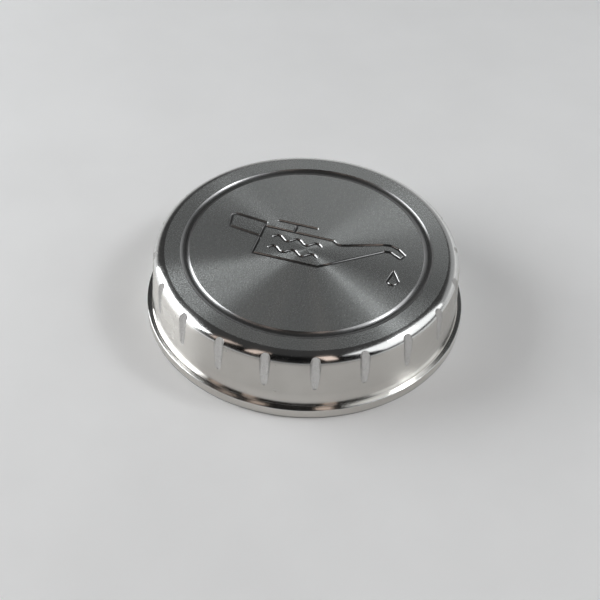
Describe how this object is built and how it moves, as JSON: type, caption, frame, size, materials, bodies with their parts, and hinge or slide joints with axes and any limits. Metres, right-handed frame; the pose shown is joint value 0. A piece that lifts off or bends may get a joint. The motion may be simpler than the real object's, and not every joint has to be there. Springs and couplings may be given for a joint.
{
  "type": "oil cap cover",
  "caption": "Round turned cover that slips over an engine's oil filler cap, with a blind bore, a stepped rim, finger flutes round the wall and a ring groove in its flat top.",
  "frame": {"origin": "centre of the rim's foot, on the bore's axis, in the plane that the cover stands on", "axes": "+Z along the bore's axis, from the open rim up to the flat top; +X through the middle of one flute, about along the sign engraved on the top"},
  "size_m": [0.0824, 0.0824, 0.0187],
  "materials": {
    "cover": "polished wall and shoulder, top turned to a fine concentric brushing, flutes left satin from the cutter"
  },
  "bodies": {
    "root": {"cover": "cover"}
  },
  "joints": []
}
